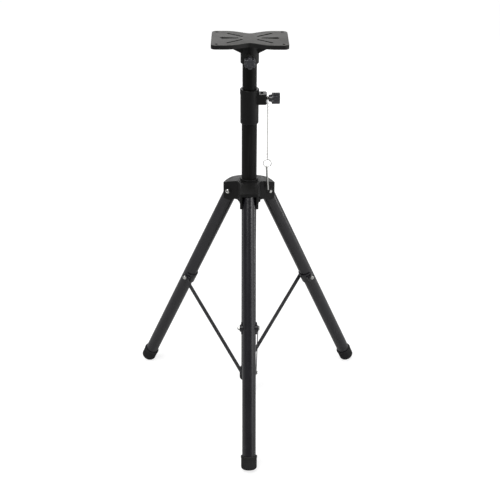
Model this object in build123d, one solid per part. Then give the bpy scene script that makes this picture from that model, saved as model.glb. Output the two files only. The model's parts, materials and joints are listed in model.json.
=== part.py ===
from build123d import *
import os
from math import atan2, cos, degrees, hypot, radians, sin, sqrt

# Speaker tripod stand with a telescoping pole. Millimetres, +Z up, origin on the floor
# under the mast. The front leg points along -Y, the height knob and its chain are on +X.
# Leg pieces are drawn in the XZ plane, X outward from the mast and Y sideways,
# and are then turned about Z to their own azimuth.

# Fits, all radial or face to face
slide_gap = 0.3        # pieces that slide or turn on each other by hand
pin_gap = 0.06         # a pin in the piece that turns on it
seat_gap = 0.05        # a piece that sits fixed in or on another
face_gap = 0.2         # flat faces that swing past each other

# Telescoping pole
pole_d = 35.0
pole_wall = 1.5
pole_length = 880.0
pole_hole_pitch = 80.0
pole_hole_count = 8
bush_flange = 4.0
bush_plug = 22.0
bush_wall = 3.0

# Mast, the outer tube
mast_wall = 1.2
mast_bottom = 48.0
mast_length = 844.0
mast_d = pole_d + 2 * (slide_gap + mast_wall)
mast_bore = mast_d - 2 * mast_wall
end_plug_flange = 4.0
end_plug_depth = 14.0
end_plug_edge = 1.5
end_plug_wall = 3.0

# Collar at the top of the mast
collar_top = mast_bottom + mast_length
collar_length = 88.5
collar_wall = 3.4
collar_lip = 6.0
collar_rim_height = 13.0
collar_rim_step = 0.8
collar_chamfer = 3.0
collar_edge = 1.5
boss_edge = 0.9
collar_d = mast_d + 2 * (seat_gap + collar_wall)
boss_reach = 42.0
boss_width = 28.0
boss_height = 26.0
boss_corner = 6.0
collar_nut_wall = 4.0
clamp_z = collar_top - 24.0
pin_hole_z = collar_top - 66.0

# Clamp knobs: three alike, each with its screw and its nut
screw_d = 8.0
screw_hole_gap = 0.5
nut_flats = 13.0
nut_thickness = 6.5
nut_pocket_gap = 0.15
knob_d = 28.0
knob_lobes = 6
knob_groove_r = 4.6
knob_groove_depth = 2.6
knob_grip = 20.0
knob_neck = 7.5
knob_neck_d = 19.0
knob_stand_off = 4.5
knob_clear = 1.5
knob_screw_seat = 14.0
knob_edge = 1.2
knob_neck_taper = 1.5
screw_point = 0.8

# Speaker plate
pole_show = 62.0
plate_x = 182.0
plate_y = 128.0
plate_waist = 85.0
plate_corner_flat = 30.0
plate_corner_r = 12.0
plate_edge = 10.0
plate_skin = 3.6
plate_skirt = 3.0
plate_edge_round = 1.2
plate_hole_d = 7.5
plate_hole_inset_x = 12.5
plate_hole_inset_y = 11.0
plate_boss_wall = 3.0
centre_slot_inner = 27.0
centre_slot_outer = 70.0
centre_slot_wide = 12.0
centre_slot_narrow = 6.0
ray_slot_start = (19.0, 14.0)
ray_slot_end = (52.0, 40.0)
ray_slot_width = 5.5
socket_length = 52.0
socket_wall = 4.3
socket_chamfer = 3.8
socket_boss_r = 11.5
socket_boss_reach = 32.0
socket_screw_rise = 17.0
socket_nut_wall = 1.2
gusset_reach = 68.0
gusset_drop = 25.0
gusset_thickness = 4.0
gusset_offset = 10.0

# Legs
leg_d = 34.5
leg_wall = 1.2
leg_spread = 25.6
leg_pivot_r = 48.5
leg_pivot_z = 619.5
leg_side_gap = 0.6
leg_plug_depth = 30.0
front_azimuth = -90.0
leg_names = ("front", "right", "left")

# Rubber feet
foot_wall = 2.6
foot_rim = 1.0
foot_rim_height = 5.0
foot_length = 35.0
foot_sole = 6.0
foot_round = 8.0

# Hub that carries the leg pivots and slides on the mast
hub_wall = 5.4
hub_skin = 3.0
hub_barrel_wall = 9.0
hub_bottom = leg_pivot_z - 18.0
hub_shoulder_z = leg_pivot_z + 34.0
hub_neck_z = leg_pivot_z + 40.0
hub_neck_wall = 3.7
hub_shoulder_wall = 7.7
hub_rim_z = leg_pivot_z + 21.0
hub_dome_bulge = 1.6
cheek_r = 24.5
cheek_edge_drop = 5.0
rim_rise = 13.0
rim_gap = 0.8
rim_wall = 3.2
arm_corner_r = 4.0
pivot_boss_r = 9.5
pivot_boss_height = 1.0
hub_lock_z = leg_pivot_z + 6.0
hub_lock_boss_r = 11.0
hub_lock_reach = 42.0
hub_nut_wall = 1.2
hub_neck_edge = 1.2

# Pivot bolts
pivot_bolt_d = 8.0
pivot_head_d = 12.5
pivot_head_height = 4.0
pivot_nut_thickness = 5.0
pivot_nut_sink = 3.0
strut_bolt_d = 6.0
strut_head_d = 12.0
strut_head_height = 3.2
strut_nut_flats = 10.0
strut_nut_thickness = 4.5
bolt_tail = 1.5
bolt_dome = 0.6         # rounding of a bolt head as a share of its height

# Struts, their leg brackets and the ring at the foot of the mast
strut_along_leg = 323.0
strut_width = 11.5
strut_thickness = 2.0
strut_eye_r = 7.5
strut_screw_head_d = 10.0
bracket_wall = 3.0
bracket_height = 30.0
bracket_boss_r = 8.8
bracket_far_boss = 2.2
bracket_open = 3.0
ring_z = 64.0
ring_height = 30.0
ring_band = 4.8
ring_wall = 2.2
ring_screw_depth = 1.6
ring_edge = 1.0

# Safety pin, split ring and chain
chain_d = 2.6
chain_x = boss_reach + knob_stand_off / 2
chain_points = (
    (chain_x, -2.4, clamp_z - 8.5),
    (chain_x + 0.4, -5.2, clamp_z - 68.5),
    (chain_x + 1.0, -8.0, clamp_z - 155.2),
)
eye_wire = 1.6
eye_play = 0.6
eye_r = (screw_d + eye_wire) / 2 + eye_play
split_ring_r = 10.0
split_ring_wire = 1.6
pin_d = 5.0
pin_length = 63.0
pin_eye_r = 3.6
pin_eye_play = 0.8
pin_tilt = 3.8
pin_tip_taper = 2.0
pin_along_ring = 1.5

# Derived places
leg_r = leg_d / 2
arm_slot = leg_r + leg_side_gap
arm_half = arm_slot + hub_wall
slot_inner_r = leg_pivot_r - leg_r - rim_gap
hub_core_r = mast_d / 2 + slide_gap + hub_barrel_wall + hub_skin
hub_neck_r = mast_d / 2 + slide_gap + hub_neck_wall
hub_shoulder_r = mast_d / 2 + slide_gap + hub_shoulder_wall
ring_r = mast_d / 2 + ring_band
slot_outer_r = leg_pivot_r + sqrt(leg_r**2 - rim_rise**2) + rim_gap
arm_reach = slot_outer_r + rim_wall
spread = radians(leg_spread)
foot_r = leg_r + seat_gap + foot_wall
sole_ring_r = foot_r - foot_round
leg_to_sole = (leg_pivot_z - foot_round - sole_ring_r * sin(spread)) / cos(spread) + foot_round
leg_tube_end = leg_to_sole - foot_sole
strut_offset = max(leg_r + seat_gap + bracket_wall, mast_d / 2 + ring_wall) + face_gap + strut_thickness / 2
strut_face = strut_offset - strut_thickness / 2
cheek_face = strut_face - face_gap
ring_flat = strut_face - slide_gap
strut_top_r = leg_pivot_r + strut_along_leg * sin(spread)
strut_top_z = leg_pivot_z - strut_along_leg * cos(spread)
strut_length = hypot(strut_top_r, strut_top_z - ring_z)
strut_lean = degrees(atan2(strut_top_r, strut_top_z - ring_z))
socket_bottom = collar_top + pole_show
plate_under = socket_bottom + socket_length
plate_top = plate_under + plate_edge
socket_d = pole_d + 2 * (slide_gap + socket_wall)
socket_screw_z = socket_bottom + socket_screw_rise
pole_top = plate_under - face_gap
pole_bottom = pole_top - pole_length
mast_top = collar_top - collar_lip - seat_gap
hub_lock_azimuth = front_azimuth + 180.0
leg_azimuths = [front_azimuth + 120.0 * i for i in range(len(leg_names))]
to_lock = Rot(0, 0, hub_lock_azimuth)

# Nut pockets: local Z along the screw towards its knob, local Y towards the open side
upright = Rot(0, 90, 0) * Rot(0, 0, 90)
collar_nut_place = Pos(collar_d / 2 + collar_nut_wall, 0, clamp_z) * upright
plate_nut_place = Pos(0, -socket_d / 2 - socket_nut_wall, socket_screw_z) * Rot(90, 0, 0) * Rot(0, 0, 180)
hub_nut_place = to_lock * Pos(hub_core_r + hub_nut_wall, 0, hub_lock_z) * upright * Rot(0, 0, 180)

low = (Align.CENTER, Align.CENTER, Align.MIN)
parts = {}


def rod_z(radius, start, end, x=0.0, y=0.0):
    return Pos(x, y, start) * Cylinder(radius, end - start, align=low)


def rod_x(radius, start, end, y=0.0, z=0.0):
    return Pos(start, y, z) * Rot(0, 90, 0) * Cylinder(radius, end - start, align=low)


def rod_y(radius, start, end, x=0.0, z=0.0):
    return Pos(x, start, z) * Rot(-90, 0, 0) * Cylinder(radius, end - start, align=low)


def block(x, y, z):
    """Box between three (low, high) pairs."""
    size = [side[1] - side[0] for side in (x, y, z)]
    return Pos(x[0], y[0], z[0]) * Box(*size, align=(Align.MIN, Align.MIN, Align.MIN))


def tube(outer_r, inner_r, start, end):
    return rod_z(outer_r, start, end) - rod_z(inner_r, start, end)


def hex_bar(flats, length):
    return extrude(RegularPolygon(flats / 2, 6, major_radius=False), length)


# ---------------------------------------------------------------- clamp knobs

def knob_head():
    """Star knob along +Z, with its neck face at Z = 0 and a blind hole for the screw."""
    groove_centre = knob_d / 2 + knob_groove_r - knob_groove_depth
    star = Circle(knob_d / 2) - PolarLocations(groove_centre, knob_lobes) * Circle(knob_groove_r)
    grip = Pos(0, 0, knob_neck) * extrude(star, knob_grip)
    grip = chamfer(grip.edges().group_by(Axis.Z)[-1], knob_edge)
    neck = Cone(knob_neck_d / 2 - knob_neck_taper, knob_neck_d / 2, knob_neck, align=low)
    return grip + neck - rod_z(screw_d / 2 + seat_gap, -1, knob_screw_seat)


def knob_screw(tip_length):
    """Screw of a knob, from its seat in the head to tip_length below the neck face."""
    shank = rod_z(screw_d / 2, -tip_length, knob_screw_seat - 0.5)
    return chamfer(shank.edges().group_by(Axis.Z)[0], screw_point)


def clamp_nut():
    """Nut along +Z, turned as it lies in its pocket."""
    nut = hex_bar(nut_flats, nut_thickness) - rod_z(screw_d / 2 + pin_gap, -1, nut_thickness + 1)
    return Pos(0, 0, nut_pocket_gap) * Rot(0, 0, 30) * nut


def nut_pocket(way_in):
    """Slot for the nut of a knob: hexagon around the screw, open towards local +Y."""
    flats = nut_flats + 2 * nut_pocket_gap
    depth = nut_thickness + 2 * nut_pocket_gap
    slot = Rectangle(flats, way_in, align=(Align.CENTER, Align.MIN))
    return extrude(RegularPolygon(flats / 2, 6, major_radius=False, rotation=30) + slot, depth)


# ---------------------------------------------------------------- mast and collar

def mast_tube():
    shell = tube(mast_d / 2, mast_bore / 2, mast_bottom, mast_top)
    clamp_hole = rod_x(screw_d / 2 + screw_hole_gap, 0, mast_d, z=clamp_z)
    pin_hole = rod_x(pin_d / 2 + screw_hole_gap, -mast_d, mast_d, z=pin_hole_z)
    return shell - clamp_hole - pin_hole


def mast_end_plug():
    flange = rod_z(mast_d / 2, mast_bottom - end_plug_flange, mast_bottom)
    flange = fillet(flange.edges().group_by(Axis.Z)[0], end_plug_edge)
    spigot_r = mast_bore / 2 - seat_gap
    spigot = tube(spigot_r, spigot_r - end_plug_wall, mast_bottom, mast_bottom + end_plug_depth)
    return flange + spigot


def collar():
    outer = rod_z(collar_d / 2, collar_top - collar_length, collar_top - collar_rim_height)
    outer = chamfer(outer.edges().group_by(Axis.Z)[0], collar_chamfer)
    rim = rod_z(collar_d / 2 + collar_rim_step, collar_top - collar_rim_height, collar_top)
    rim = fillet(rim.edges().group_by(Axis.Z)[-1], collar_edge)
    arm = extrude(RectangleRounded(2 * boss_reach, boss_width, boss_corner), boss_height)
    arm = Pos(0, 0, clamp_z - boss_height / 2) * arm
    arm = arm & block((0, boss_reach), (-boss_width, boss_width), (0, collar_top))
    arm = chamfer(arm.edges().filter_by(GeomType.CIRCLE).group_by(Axis.X)[-1], boss_edge)
    body = outer + rim + arm
    body -= rod_z(mast_d / 2 + seat_gap, 0, collar_top - collar_lip)
    body -= rod_z(pole_d / 2 + slide_gap, 0, collar_top + 1)
    body -= rod_x(screw_d / 2 + screw_hole_gap, 0, boss_reach + 1, z=clamp_z)
    body -= rod_x(pin_d / 2 + screw_hole_gap, -collar_d, collar_d, z=pin_hole_z)
    return body - collar_nut_place * nut_pocket(boss_height)


def strut_ring():
    """Ring on the mast with a flat for the foot of each strut, sideways of each leg."""
    ring = rod_z(ring_r, ring_z - ring_height / 2, ring_z + ring_height / 2)
    ring = chamfer(ring.edges(), ring_edge)
    ring -= rod_z(mast_d / 2 + seat_gap, 0, ring_z + ring_height)
    for azimuth in leg_azimuths:
        beyond = block((-ring_r, ring_r), (ring_flat, 2 * ring_r), (0, ring_z + ring_height))
        ring -= Rot(0, 0, azimuth) * beyond
        hole = rod_y(strut_bolt_d / 2, ring_flat - ring_screw_depth, ring_flat + 1, z=ring_z)
        ring -= Rot(0, 0, azimuth) * hole
    return ring


# ---------------------------------------------------------------- pole and speaker plate

def pole_tube():
    shell = tube(pole_d / 2, pole_d / 2 - pole_wall, pole_bottom, pole_top)
    for i in range(pole_hole_count):
        z = pin_hole_z - pole_hole_pitch * (i - 1)
        shell -= rod_x(pin_d / 2 + screw_hole_gap, -pole_d, pole_d, z=z)
    return shell


def pole_bush():
    """Plastic bush in the bottom end of the pole, which keeps it central in the mast."""
    flange = rod_z(mast_bore / 2 - slide_gap / 2, pole_bottom - bush_flange, pole_bottom)
    plug_r = pole_d / 2 - pole_wall - seat_gap
    plug = rod_z(plug_r, pole_bottom, pole_bottom + bush_plug)
    return flange + plug - rod_z(plug_r - bush_wall, 0, pole_bottom + bush_plug + 1)


def plate_outline(inset=0.0):
    """Plan of the plate, less inset all round: square corners, long sides drawn in to the waist."""
    x, y = plate_x / 2 - inset, plate_y / 2 - inset
    bend = plate_x / 2 - plate_corner_flat
    outline = Curve()
    for sign in (-1, 1):
        outline += Line((sign * x, y), (sign * x, -y))
        outline += Line((-x, sign * y), (-bend, sign * y))
        outline += Line((bend, sign * y), (x, sign * y))
        waist = (0, sign * (plate_waist / 2 - inset))
        outline += Spline((-bend, sign * y), waist, (bend, sign * y), tangents=((1, 0), (1, 0)))
    plan = make_face(outline)
    corners = [v for v in plan.vertices() if abs(v.X) > x - 1]
    return fillet(corners, plate_corner_r - inset)


def plate_cuts(wall=0.0):
    """Plan of all the slots and screw holes through the plate, with a wall around each."""
    cuts = Sketch()
    hole_x = plate_x / 2 - plate_hole_inset_x
    hole_y = plate_y / 2 - plate_hole_inset_y
    for sx in (-1, 1):
        wide_r, narrow_r = centre_slot_wide / 2, centre_slot_narrow / 2
        outer_end = Pos(sx * (centre_slot_outer - wide_r), 0) * Circle(wide_r + wall)
        inner_end = Pos(sx * (centre_slot_inner + narrow_r), 0) * Circle(narrow_r + wall)
        cuts += make_hull((outer_end + inner_end).edges())
        for sy in (-1, 1):
            start, end = [
                Pos(sx * px, sy * py) * Circle(ray_slot_width / 2 + wall)
                for px, py in (ray_slot_start, ray_slot_end)
            ]
            cuts += make_hull((start + end).edges())
            cuts += Pos(sx * hole_x, sy * hole_y) * Circle(plate_hole_d / 2 + wall)
    return cuts


def speaker_plate():
    slab = Pos(0, 0, plate_under) * extrude(plate_outline(), plate_edge)
    slab = fillet(slab.edges().group_by(Axis.Z)[-1], plate_edge_round)
    inside = plate_outline(plate_skirt) - plate_cuts(plate_boss_wall)
    inside -= Circle(socket_d / 2)
    for sy in (-1, 1):
        inside -= Pos(0, sy * gusset_offset) * Rectangle(2 * gusset_reach, gusset_thickness)
    slab -= Pos(0, 0, plate_under) * extrude(inside, plate_edge - plate_skin)
    socket = rod_z(socket_d / 2, socket_bottom, plate_under)
    socket = chamfer(socket.edges().group_by(Axis.Z)[0], socket_chamfer)
    socket += rod_y(socket_boss_r, -socket_boss_reach, 0, z=socket_screw_z)
    root = sqrt((socket_d / 2)**2 - (gusset_offset + gusset_thickness / 2)**2) - 1
    web = Polyline((-gusset_reach, plate_under), (gusset_reach, plate_under),
                   (root, plate_under - gusset_drop), (-root, plate_under - gusset_drop), close=True)
    gusset = extrude(Plane.XZ * make_face(web), gusset_thickness / 2, both=True)
    body = slab + socket
    for sy in (-1, 1):
        body += Pos(0, sy * gusset_offset, 0) * gusset
    body -= Pos(0, 0, plate_under - 1) * extrude(plate_cuts(), plate_edge + 2)
    body -= rod_z(pole_d / 2 + slide_gap, 0, plate_under)
    body -= rod_y(screw_d / 2 + screw_hole_gap, -socket_boss_reach - 1, 0, z=socket_screw_z)
    return body - plate_nut_place * nut_pocket(socket_length)


# ---------------------------------------------------------------- hub

def dome(lift=0.0):
    """Body under the sloping top of the hub, with the top moved by lift."""
    corner_r = hypot(arm_reach, arm_half) + 2
    slope = (hub_shoulder_z - hub_rim_z) / (arm_reach - hub_shoulder_r)
    edge_z = hub_rim_z - slope * (corner_r - arm_reach) + lift
    mid = ((corner_r + hub_shoulder_r) / 2, (edge_z + hub_shoulder_z + lift) / 2 + hub_dome_bulge)
    top = ThreePointArc((corner_r, edge_z), mid, (hub_shoulder_r, hub_shoulder_z + lift))
    floor_z = leg_pivot_z - 2 * cheek_r
    rest = Polyline((hub_shoulder_r, hub_shoulder_z + lift), (0, hub_shoulder_z + lift), (0, floor_z),
                    (corner_r, floor_z), (corner_r, edge_z))
    return revolve(Plane.XZ * make_face(top + rest), Axis.Z)


def hub_arm():
    """One arm along +X: side view of the cheeks, cut to a plan with rounded corners."""
    side = Pos(leg_pivot_r, leg_pivot_z) * Circle(cheek_r)
    side += Pos(0, leg_pivot_z - cheek_edge_drop) * Rectangle(
        arm_reach, hub_neck_z - leg_pivot_z + cheek_edge_drop, align=(Align.MIN, Align.MIN))
    side += Pos(0, hub_bottom) * Rectangle(
        leg_pivot_r, leg_pivot_z - hub_bottom, align=(Align.MIN, Align.MIN))
    side = extrude(Plane.XZ * side, arm_half, both=True)
    plan = extrude(RectangleRounded(2 * arm_reach, 2 * arm_half, arm_corner_r), hub_neck_z)
    return side & plan & block((0, arm_reach), (-arm_half, arm_half), (0, hub_neck_z))


def leg_slot():
    """Room for the top of a leg: under the skin of the hub and out through the end."""
    inside = block((slot_inner_r, slot_outer_r), (-arm_slot, arm_slot), (0, hub_neck_z)) & dome(-hub_skin)
    way_out = block((slot_inner_r, arm_reach + 1), (-arm_slot, arm_slot), (0, leg_pivot_z + rim_rise))
    return inside + way_out


def hub():
    body = rod_z(hub_core_r, hub_bottom, hub_neck_z)
    for azimuth in leg_azimuths:
        body += Rot(0, 0, azimuth) * hub_arm()
    body = body & dome()
    body += rod_z(hub_shoulder_r, hub_bottom, hub_shoulder_z + 1)
    neck = rod_z(hub_neck_r, hub_bottom, hub_neck_z)
    body += fillet(neck.edges().group_by(Axis.Z)[-1], hub_neck_edge)
    body += Rot(0, 0, hub_lock_azimuth) * rod_x(hub_lock_boss_r, 0, hub_lock_reach, z=hub_lock_z)
    for azimuth in leg_azimuths:
        turn = Rot(0, 0, azimuth)
        boss_end = arm_half + pivot_boss_height
        body += turn * rod_y(pivot_boss_r, -boss_end, boss_end, leg_pivot_r, leg_pivot_z)
    for azimuth in leg_azimuths:
        turn = Rot(0, 0, azimuth)
        body -= turn * leg_slot()
        bolt_hole_r = pivot_bolt_d / 2 + seat_gap
        body -= turn * rod_y(bolt_hole_r, -2 * arm_half, 2 * arm_half, leg_pivot_r, leg_pivot_z)
        body -= turn * pivot_nut_seat()
    body -= rod_z(mast_d / 2 + slide_gap, 0, hub_neck_z + 1)
    lock = rod_x(screw_d / 2 + screw_hole_gap, 0, hub_lock_reach + 1, z=hub_lock_z)
    return body - to_lock * lock - hub_nut_place * nut_pocket(2 * cheek_r)


def pivot_nut_seat():
    flats = nut_flats + 2 * nut_pocket_gap
    seat = hex_bar(flats, pivot_nut_sink + 1)
    return Pos(leg_pivot_r, pivot_nut_face, leg_pivot_z) * Rot(90, 0, 0) * seat


def bolt(shank_r, head_r, head_height, under_head, tail):
    """Round-headed bolt along Y: the head stands on +Y from under_head, the tail ends on -Y."""
    shank = rod_y(shank_r, tail, under_head + 0.5)
    head = rod_y(head_r, under_head, under_head + head_height)
    return shank + fillet(head.edges().group_by(Axis.Y)[-1], head_height * bolt_dome)


def pivot_bolt():
    head_face = arm_half + pivot_boss_height
    tail = pivot_nut_face - pivot_nut_thickness - bolt_tail
    return Pos(leg_pivot_r, 0, leg_pivot_z) * bolt(
        pivot_bolt_d / 2, pivot_head_d / 2, pivot_head_height, head_face, tail)


def pivot_nut():
    nut = hex_bar(nut_flats, pivot_nut_thickness) - rod_z(pivot_bolt_d / 2 + seat_gap, -1, nut_thickness)
    return Pos(leg_pivot_r, pivot_nut_face, leg_pivot_z) * Rot(90, 0, 0) * nut


pivot_nut_face = -(arm_half + pivot_boss_height - pivot_nut_sink)


# ---------------------------------------------------------------- legs, with Z along the leg

def on_leg(shape):
    """From leg space, pivot at the origin and foot down, to the spread leg at azimuth 0."""
    return Pos(leg_pivot_r, 0, leg_pivot_z) * Rot(0, -leg_spread, 0) * shape


def round_top():
    """Keeps what lies below the pivot or within the leg's own radius of it."""
    return rod_y(leg_r, -leg_d, leg_d) + block((-leg_d, leg_d), (-leg_d, leg_d), (-2 * leg_to_sole, 0))


def leg_tube():
    shell = tube(leg_r, leg_r - leg_wall, -leg_tube_end, leg_r) & round_top()
    shell -= rod_y(pivot_bolt_d / 2 + pin_gap, -leg_d, leg_d)
    return on_leg(shell - rod_y(strut_bolt_d / 2 + seat_gap, -leg_d, leg_d, z=-strut_along_leg))


def leg_plug():
    """Plastic plug in the top of the leg, the bearing of the pivot bolt."""
    plug = rod_z(leg_r - leg_wall - seat_gap, -leg_plug_depth, leg_r) & round_top()
    return on_leg(plug - rod_y(pivot_bolt_d / 2 + pin_gap, -leg_d, leg_d))


def leg_foot():
    body = rod_z(foot_r, -leg_to_sole, foot_length - leg_to_sole)
    body = fillet(body.edges().group_by(Axis.Z)[0], foot_round)
    rim_top = foot_length - leg_to_sole
    rim = rod_z(foot_r + foot_rim, rim_top - foot_rim_height, rim_top)
    body += chamfer(rim.edges(), foot_rim * 0.8)
    return on_leg(body - rod_z(leg_r + seat_gap, -leg_tube_end, 0))


def leg_bracket():
    """Clip on the mast side of the leg with a cheek and a boss on each side."""
    half = bracket_height / 2
    sleeve = rod_z(leg_r + seat_gap + bracket_wall, -half, half)
    sleeve = sleeve & block((-leg_d, bracket_open), (-leg_d, leg_d), (-half, half))
    cheeks = block((-leg_r * 0.7, 0), (-cheek_face, cheek_face), (-bracket_boss_r, bracket_boss_r))
    bosses = rod_y(bracket_boss_r, -cheek_face - bracket_far_boss, cheek_face)
    body = sleeve + cheeks + bosses
    body -= rod_z(leg_r + seat_gap, -half - 1, half + 1)
    body -= rod_y(strut_bolt_d / 2 + seat_gap, -2 * leg_d, 2 * leg_d)
    return on_leg(Pos(0, 0, -strut_along_leg) * body)


def bracket_bolt():
    head_face = strut_offset + strut_thickness / 2 + face_gap
    tail = bracket_nut_face - strut_nut_thickness - bolt_tail
    return on_leg(Pos(0, 0, -strut_along_leg) * bolt(
        strut_bolt_d / 2, strut_head_d / 2, strut_head_height, head_face, tail))


def bracket_nut():
    nut = hex_bar(strut_nut_flats, strut_nut_thickness)
    nut -= rod_z(strut_bolt_d / 2 + seat_gap, -1, 2 * nut_thickness)
    return on_leg(Pos(0, bracket_nut_face, -strut_along_leg) * Rot(90, 0, 0) * nut)


bracket_nut_face = -(cheek_face + bracket_far_boss)


# ---------------------------------------------------------------- struts, with Z along the strut

def on_strut(shape):
    return Pos(0, strut_offset, ring_z) * Rot(0, strut_lean, 0) * shape


def strut():
    plan = Pos(0, strut_length / 2) * Rectangle(strut_width, strut_length)
    plan += Circle(strut_eye_r) + Pos(0, strut_length) * Circle(strut_eye_r)
    plan -= Circle(strut_bolt_d / 2 + seat_gap)
    plan -= Pos(0, strut_length) * Circle(strut_bolt_d / 2 + pin_gap)
    return on_strut(extrude(Plane.XZ * plan, strut_thickness / 2, both=True))


def strut_screw():
    """Shoulder screw at the foot of a strut; its shank ends at the strut's inner face."""
    head_face = strut_thickness / 2
    return on_strut(bolt(strut_bolt_d / 2, strut_screw_head_d / 2, strut_head_height, head_face, -head_face))


# ---------------------------------------------------------------- safety pin and chain

def wire_ring(ring_radius, wire_d):
    """Round wire ring in the XZ plane."""
    return Rot(90, 0, 0) * Torus(ring_radius, wire_d / 2)


ring_centre = Vector(*chain_points[-1]) - Vector(0, 0, split_ring_r + split_ring_wire / 2 + chain_d / 2)
pin_eye = ring_centre - Vector(pin_along_ring, 0, sqrt(split_ring_r**2 - pin_along_ring**2))


def chain_eye():
    """Wire eye that hangs on the clamp screw, turned across it."""
    centre_z = clamp_z - eye_play + seat_gap
    return Pos(chain_points[0][0], 0, centre_z) * Rot(0, 0, 90) * wire_ring(eye_r, eye_wire)


def safety_chain():
    """Straight hanging chain: one gentle bend, with the arc that its two runs allow."""
    points = [Vector(*point) for point in chain_points]
    runs = [b - a for a, b in zip(points, points[1:])]
    radii = []
    for before, after in zip(runs, runs[1:]):
        half_turn = radians(before.get_angle(after)) / 2
        radii.append(0.45 * min(before.length, after.length) * cos(half_turn) / sin(half_turn))
    print("chain arc radii", [round(radius) for radius in radii])
    path = FilletPolyline(*points, radius=radii[0])
    section = Plane(origin=points[0], z_dir=runs[0]) * Circle(chain_d / 2)
    chain = sweep(section, path=path)
    expected = path.length * section.area
    print("chain length", round(path.length, 1), "volume over expected", round(chain.volume / expected, 4))
    return chain


def safety_pin():
    """Steel pin with an eye at its top for the split ring and a short taper at its tip."""
    shank = rod_z(pin_d / 2, -pin_length, -1)
    shank = chamfer(shank.edges().group_by(Axis.Z)[0], pin_tip_taper, pin_tip_taper / 2)
    eye = rod_x(pin_eye_r, -pin_d / 2 + 1, pin_d / 2 - 1)
    hole = rod_x(split_ring_wire / 2 + pin_eye_play, -pin_d, pin_d)
    return Pos(*pin_eye) * Rot(0, -pin_tilt, 0) * (shank + eye - hole)


# ---------------------------------------------------------------- assembly

parts["mast_tube"] = mast_tube()
parts["mast_end_plug"] = mast_end_plug()
parts["collar"] = collar()
parts["strut_ring"] = strut_ring()
parts["pole_tube"] = pole_tube()
parts["pole_bush"] = pole_bush()
parts["speaker_plate"] = speaker_plate()
parts["hub"] = hub()

collar_clamp = Pos(boss_reach + knob_stand_off, 0, clamp_z) * Rot(0, 90, 0)
parts["collar_nut"] = collar_nut_place * clamp_nut()
parts["collar_knob"] = collar_clamp * knob_head()
parts["collar_screw"] = collar_clamp * knob_screw(boss_reach + knob_stand_off - pole_d / 2 - slide_gap)

plate_clamp = Pos(0, -socket_boss_reach - knob_clear, socket_screw_z) * Rot(90, 0, 0)
parts["plate_nut"] = plate_nut_place * clamp_nut()
parts["plate_knob"] = plate_clamp * knob_head()
parts["plate_screw"] = plate_clamp * knob_screw(socket_boss_reach + knob_clear - pole_d / 2 - slide_gap)

hub_clamp = to_lock * Pos(hub_lock_reach + knob_clear, 0, hub_lock_z) * Rot(0, 90, 0)
parts["hub_lock_nut"] = hub_nut_place * clamp_nut()
parts["hub_lock_knob"] = hub_clamp * knob_head()
parts["hub_lock_screw"] = hub_clamp * knob_screw(hub_lock_reach + knob_clear - mast_d / 2 - slide_gap)

leg_pieces = {
    "pivot_bolt": pivot_bolt, "pivot_nut": pivot_nut, "leg_tube": leg_tube, "leg_plug": leg_plug,
    "leg_foot": leg_foot, "leg_bracket": leg_bracket, "bracket_bolt": bracket_bolt,
    "bracket_nut": bracket_nut, "strut": strut, "strut_screw": strut_screw,
}
for name, azimuth in zip(leg_names, leg_azimuths):
    for piece, make in leg_pieces.items():
        parts[f"{name}_{piece}"] = Rot(0, 0, azimuth) * make()

parts["chain_eye"] = chain_eye()
parts["safety_chain"] = safety_chain()
parts["split_ring"] = Pos(*ring_centre) * wire_ring(split_ring_r, split_ring_wire)
parts["safety_pin"] = safety_pin()

os.makedirs("parts", exist_ok=True)
for name, shape in parts.items():
    export_step(shape, f"parts/{name}.step")
print(len(parts), "nodes")
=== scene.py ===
import json
from math import cos, pi, radians, sin, sqrt
import bmesh
import bpy
from mathutils import Matrix, Vector

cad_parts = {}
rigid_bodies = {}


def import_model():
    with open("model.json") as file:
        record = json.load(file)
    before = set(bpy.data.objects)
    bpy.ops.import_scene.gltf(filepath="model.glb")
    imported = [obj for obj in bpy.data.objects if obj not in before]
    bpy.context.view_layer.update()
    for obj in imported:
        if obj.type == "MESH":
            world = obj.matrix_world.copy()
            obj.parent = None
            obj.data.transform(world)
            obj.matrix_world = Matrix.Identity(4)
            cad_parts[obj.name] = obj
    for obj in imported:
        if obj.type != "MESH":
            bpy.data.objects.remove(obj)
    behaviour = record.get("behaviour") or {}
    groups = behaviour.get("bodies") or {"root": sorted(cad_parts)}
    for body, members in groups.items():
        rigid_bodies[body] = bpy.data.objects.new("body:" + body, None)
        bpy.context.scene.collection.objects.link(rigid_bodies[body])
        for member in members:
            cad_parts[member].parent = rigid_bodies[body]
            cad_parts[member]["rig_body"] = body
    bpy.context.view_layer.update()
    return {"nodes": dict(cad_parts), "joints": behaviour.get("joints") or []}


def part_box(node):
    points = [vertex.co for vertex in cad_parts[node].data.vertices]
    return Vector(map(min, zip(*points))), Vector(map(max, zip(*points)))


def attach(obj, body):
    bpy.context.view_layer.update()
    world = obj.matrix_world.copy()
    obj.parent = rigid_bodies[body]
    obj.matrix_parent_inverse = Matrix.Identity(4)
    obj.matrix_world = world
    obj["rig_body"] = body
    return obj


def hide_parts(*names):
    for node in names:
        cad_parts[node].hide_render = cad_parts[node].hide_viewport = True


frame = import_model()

legNames = ("front", "right", "left")
joints = {joint["name"]: joint for joint in frame["joints"]}

# camera

camera = {
    "azimuth": -0.574,      # degrees round the stand, 0 looks along +Y
    "distance": 2.2805,
    "height": 1.6446,
    "pitch": 27.612,        # degrees below the horizon
    "pan": -0.084,
    "roll": 0.342,
    "lens": 70.6,
}
sideways, upwards = Vector((1, 0, 0)), Vector((0, 0, 1))


def linked(obj):
    bpy.context.scene.collection.objects.link(obj)
    return obj


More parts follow.
